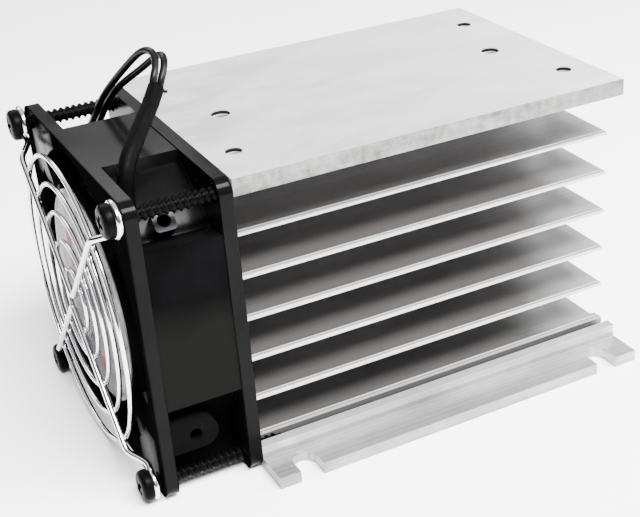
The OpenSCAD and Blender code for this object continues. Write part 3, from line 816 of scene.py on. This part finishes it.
def half_arm(sy, sz, apex, radius):
    """From the apex's side: the bend towards the flange, then the run-in and the eyelet."""
    ramp_from, ramp_to, ramp_side, bend_r = 9.6, 5.0, 1.7, 1.5
    eye_from, eye_step, eye_points = 52, 11, 27
    eye = Vector((X_EYE - stand(sy, sz), sy * SCREW_Y, AXIS_Z + sz * SCREW_Y))
    back = Vector((0, apex.y - eye.y, apex.z - eye.z)).normalized()
    side = Vector((1, 0, 0)).cross(back) * sy * sz
    start = Vector((X_ARM, eye.y, eye.z)) + back * ramp_from
    foot = eye + back * ramp_to + side * ramp_side
    loop = []
    for k in range(eye_points):
        turn = math.radians(eye_from + k * eye_step)
        loop.append(eye + (back * math.cos(turn) + side * math.sin(turn)) * radius)
    before = start + (apex - start).normalized() * 1.6
    bend = rounded([before, start, foot + (start - foot) * 0.02], bend_r)[1:-1]
    lead_in = smooth_path([bend[-1], foot, loop[0], loop[1]], 4)[1:-4]
    return bend, lead_in + loop


def crossing(apex, way, radius):
    """Point at which the line from the apex along way leaves the ring of that radius."""
    low, high = 0.0, 1.0
    for _ in range(24):
        middle = (low + high) / 2
        point = apex + way * middle
        if math.hypot(point.y, point.z - AXIS_Z) < radius:
            low = middle
        else:
            high = middle
    return apex + way * low


def add_guard_arm(node, sz, middle, eyelet_r):
    apex = Vector((X_ARM, middle[0], AXIS_Z + middle[1]))
    left_bend, left_loop = half_arm(-1, sz, apex, eyelet_r)
    right_bend, right_loop = half_arm(1, sz, apex, eyelet_r)
    apex_bend_r = 2.4
    tip = rounded([left_bend[0], apex, right_bend[0]], apex_bend_r)[1:-1]
    path = left_loop[::-1] + left_bend[::-1] + tip + right_bend + right_loop
    parts = [swept(path, [circle(ARM_R, 14)] * len(path))]
    # weld nuggets where the arm crosses the rings
    nugget = [(0.0, -0.75), (0.55, -0.6), (0.85, -0.1), (0.8, 0.4), (0.45, 0.7), (0.0, 0.8)]
    for bend in (left_bend, right_bend):
        for ring in RING_R:
            weld = crossing(apex, bend[0] - apex, ring)
            verts, faces = revolved(nugget, 12)
            parts.append((moved(verts, (X_RING - 0.55, weld.y, weld.z)), faces))
    mesh = mesh_from(node + "_wire", *joined(parts))
    new_object(node + "_wire", mesh, "guard_chrome", replaced=(node,))


add_guard_rings()
add_guard_arm("guard_upper_arm", 1, (-1.2, 1.4), 3.9)
add_guard_arm("guard_lower_arm", -1, (0.9, -1.7), 3.4)

# ----------------------------------------------------------------- screws


def thread_surface(length, pitch, core, crest, segments=28):
    """Rolled thread as one helical skin that fades out at both ends."""
    profile = ((0.0, 0.0), (0.16, 0.0), (0.42, 1.0), (0.6, 1.0), (0.86, 0.0))
    verts, faces = [], []
    turns = int(length / pitch)
    rows = turns * segments
    for row in range(rows + 1):
        turn = row / segments
        fade = min(1.0, turn / 0.6, (turns - turn) / 0.9)
        angle = 2 * math.pi * turn
        for along, height in profile:
            r = core + (crest - core) * height * max(fade, 0.0)
            verts.append((pitch * (turn + along), r * math.cos(angle), r * math.sin(angle)))
    count = len(profile)
    for row in range(rows):
        for i in range(count - 1):
            a = row * count + i
            faces.append((a, a + 1, a + count + 1, a + count))
        # the root between this turn and the next
        if row + 1 + segments <= rows:
            a = row * count + count - 1
            b = (row + segments) * count
            faces.append((a, b, b + count, a + count))
    return verts, faces


def screw_mesh():
    """Pan-head self-tapping screw with its underside at x = 0."""
    length = 2 * ARM_R + FAN_DEPTH + 11.0
    core_r, crest_r, pitch, tip = 1.45, 2.0, 1.7, 3.0
    head = [
        (0.0, -2.6), (1.6, -2.58), (2.7, -2.48), (3.4, -2.3), (3.85, -1.95), (4.05, -1.4),
        (4.1, -0.5), (4.05, -0.1), (3.9, 0.0), (core_r, 0.0), (core_r, 0.5),
    ]
    core = [(core_r, 0.4), (core_r, length - tip), (0.6, length - 0.2), (0.0, length)]
    thread, thread_faces = thread_surface(length - tip - 0.6, pitch, core_r, crest_r)
    thread = (moved(thread, (0.6, 0, 0)), thread_faces)
    verts, faces = joined([revolved(head, 48), revolved(core, 28), thread])
    return mesh_from("fan_screw", verts, faces)


def cut_recess(mesh):
    """The screw's mesh with a cross recess with tapered wings cut into its head."""
    piece = bpy.data.objects.new("screw_blank", mesh)
    bpy.context.scene.collection.objects.link(piece)
    parts = []
    for turn in (0, 1):
        outline = []
        for x, half_l, half_w in ((-3.4, 2.5, 0.62), (-0.7, 1.1, 0.42)):
            corners = [(-half_l, -half_w), (half_l, -half_w), (half_l, half_w), (-half_l, half_w)]
            outline += [(x, a, b) if turn == 0 else (x, -b, a) for a, b in corners]
        faces = [(3, 2, 1, 0), (4, 5, 6, 7)]
        faces += [(k, (k + 1) % 4, 4 + (k + 1) % 4, 4 + k) for k in range(4)]
        parts.append((outline, faces))
    wings = mesh_from("recess_cutter", *joined(parts), smooth=False)
    cutter = bpy.data.objects.new("recess_cutter", wings)
    bpy.context.scene.collection.objects.link(cutter)
    modifier = piece.modifiers.new("recess", "BOOLEAN")
    modifier.operation = "DIFFERENCE"
    modifier.solver = "EXACT"
    modifier.use_self = True
    modifier.object = cutter
    view = bpy.context.evaluated_depsgraph_get()
    cut = bpy.data.meshes.new_from_object(piece.evaluated_get(view))
    cut.materials.clear()
    bpy.data.objects.remove(cutter)
    bpy.data.objects.remove(piece)
    return cut


def add_screws():
    shared = cut_recess(screw_mesh())
    corners = ((-1, 1, 20), (1, 1, 65), (-1, -1, 40), (1, -1, 10))
    for i, (sy, sz, turn) in enumerate(corners):
        mesh = shared.copy()
        spin = Matrix.Rotation(math.radians(turn), 4, "X")
        place = Vector((X_HEAD - stand(sy, sz), sy * SCREW_Y, AXIS_Z + sz * SCREW_Y))
        mesh.transform(Matrix.Translation(place * MM) @ spin)
        node = f"fan_screw_{i + 1}"
        new_object(node + "_threaded", mesh, "screw_black", replaced=(node,))


add_screws()

# ---------------------------------------------------------------- impeller


def blade_mesh(at):
    """One twisted, cambered blade whose middle stands at the angle given."""
    rows, columns = 8, 14
    root_r, tip_r = 27.2, 37.1
    chord, camber, mid_x = 18.2, 1.7, X_FAN + 13.4
    top, under = [], []
    for row in range(rows + 1):
        t = row / rows
        radius = root_r + t * (tip_r - root_r)
        spread = 16.6 - 1.5 * t
        for column in range(columns + 1):
            s = column / columns - 0.5
            bulge = 1 - 4 * s * s
            x = mid_x + chord * s
            half = 0.18 + 0.62 * math.sqrt(max(0.0, bulge)) * (1 - 0.3 * t)
            angle = at - (spread * s + camber * bulge) / radius
            for store, sign in ((top, 1), (under, -1)):
                turned = angle - sign * half * 0.72 / radius
                y, z = radius * math.cos(turned), radius * math.sin(turned)
                store.append((x - sign * half * 0.66, y, z))
    base = len(top)
    wide = columns + 1
    faces = []
    for row in range(rows):
        for column in range(columns):
            a = row * wide + column
            faces.append((a, a + 1, a + wide + 1, a + wide))
            faces.append((base + a, base + a + wide, base + a + wide + 1, base + a + 1))
        for column in (0, columns):
            a = row * wide + column
            faces.append((a, a + wide, base + a + wide, base + a))
    for column in range(columns):
        a = rows * wide + column
        faces.append((a, a + 1, base + a + 1, base + a))
        faces.append((column, base + column, base + column + 1, column + 1))
    return top + under, faces


def add_impeller():
    """Cup-shaped hub with seven blades."""
    blades = 7
    front, back = X_FAN + 3.2, X_FAN + 23.6
    hub = [
        (26.0, front + 0.15), (26.3, front), (27.3, front), (27.6, front + 0.3),
        (27.6, back - 1.4), (27.2, back - 0.5), (26.3, back), (4.2, back),
        (1.5, back), (1.5, back - 5.4), (3.8, back - 5.4), (4.0, back - 5.2),
        (4.0, back - 2.0), (25.4, back - 2.0), (26.0, back - 2.6),
    ]
    parts = [revolved(hub, 96, closed=True)]
    parts += [blade_mesh(2 * math.pi * k / blades + math.pi / 2) for k in range(blades)]
    verts, faces = joined(parts)
    mesh = mesh_from("impeller_bladed", moved(verts, (0, 0, AXIS_Z)), faces)
    new_object("impeller_bladed", mesh, "impeller_plastic", "rotor", ("impeller",))


add_impeller()

# ------------------------------------------------------------ tapped holes


def add_hole_threads():
    """Thread turns inside each tapped hole of the relay seat, from just below its top."""
    dx, dy, *corner = CORNER_HOLES
    spots = [(sx * dx, sy * dy, *corner) for sx in (-1, 1) for sy in (-1, 1)]
    dx, dy, *centre = CENTRE_HOLES
    spots += [(sx * dx, dy, *centre) for sx in (-1, 1)]
    segments, profile = 32, ((0.05, 0.0), (0.5, 1.0), (0.95, 0.0))
    count = len(profile)
    for i, (x_off, y, radius, pitch, depth) in enumerate(spots):
        verts, faces = [], []
        rows = int(depth / pitch * segments)
        for row in range(rows + 1):
            turn = row / segments
            angle = 2 * math.pi * turn
            fade = min(1.0, turn / 0.4, (rows / segments - turn) / 0.4)
            for along, height in profile:
                r = radius + 0.02 - 0.34 * pitch * height * max(fade, 0.0)
                x = X_HOLES + x_off + r * math.cos(angle)
                z = SEAT_TOP - 1.0 - pitch * (turn + along - 0.3)
                verts.append((x, y + r * math.sin(angle), z))
        for row in range(rows):
            for k in range(count - 1):
                a = row * count + k
                faces.append((a, a + 1, a + count + 1, a + count))
        name = f"seat_thread_{i + 1}"
        new_object(name, mesh_from(name, verts, faces), "extruded_aluminium", look=THREAD)


add_hole_threads()

# -------------------------------------------------- floor, room and lights


def add_floor():
    n = Nodes("floor_look")
    n.set(Specular_IOR_Level=0.2)
    cloud = n.noise(3.0, 3.0, 0.5)
    n.color(n.blend(cloud, (0.92, 0.92, 0.92), (0.94, 0.94, 0.94)))
    n.rough(n.span(cloud, 0.75, 0.85))
    mesh = bpy.data.meshes.new("floor")
    size = 6.0
    corners = [(-size, -size, 0), (size, -size, 0), (size, size, 0), (-size, size, 0)]
    mesh.from_pydata(corners, [], [(0, 1, 2, 3)])
    floor = bpy.data.objects.new("floor", mesh)
    mesh.materials.append(n.material)
    floor.location.z = -0.0002
    bpy.context.scene.collection.objects.link(floor)


def add_area(name, place, target, size, power):
    data = bpy.data.lights.new(name, "AREA")
    data.shape = "RECTANGLE"
    data.size, data.size_y = size
    data.energy = power
    light = bpy.data.objects.new(name, data)
    light.location = place
    aim = Vector(target) - Vector(place)
    light.rotation_euler = aim.to_track_quat("-Z", "Y").to_euler()
    bpy.context.scene.collection.objects.link(light)


def add_world():
    """White room, darker near the horizon than overhead and darkest before the fan."""
    world = bpy.data.worlds.new("studio")
    bpy.context.scene.world = world
    world.use_nodes = True
    tree = world.node_tree
    background = tree.nodes["Background"]
    background.inputs["Color"].default_value = (1.0, 1.0, 1.0, 1.0)
    way = tree.nodes.new("ShaderNodeSeparateXYZ")
    tree.links.new(tree.nodes.new("ShaderNodeTexCoord").outputs["Generated"], way.inputs["Vector"])
    both = tree.nodes.new("ShaderNodeMath")
    both.operation = "MULTIPLY"
    ramps = (("Z", 0.1, 0.8, 0.12, 1.3), ("X", -0.85, -0.1, 0.05, 1.0))
    for socket, (axis, *limits) in zip(both.inputs, ramps):
        ramp = tree.nodes.new("ShaderNodeMapRange")
        for key, value in zip(("From Min", "From Max", "To Min", "To Max"), limits):
            ramp.inputs[key].default_value = value
        tree.links.new(way.outputs[axis], ramp.inputs["Value"])
        tree.links.new(ramp.outputs["Result"], socket)
    tree.links.new(both.outputs["Value"], background.inputs["Strength"])


add_floor()
add_world()
add_area("key", (0.1, -0.5, 0.82), (0.0, -0.03, 0.03), (0.8, 0.36), 70.0)
add_area("right", (0.42, -0.16, 0.2), (0.06, 0.0, 0.05), (0.3, 0.2), 4.2)
add_area("back", (-0.1, 0.9, 0.75), (0.0, 0.0, 0.05), (0.9, 0.5), 7.0)
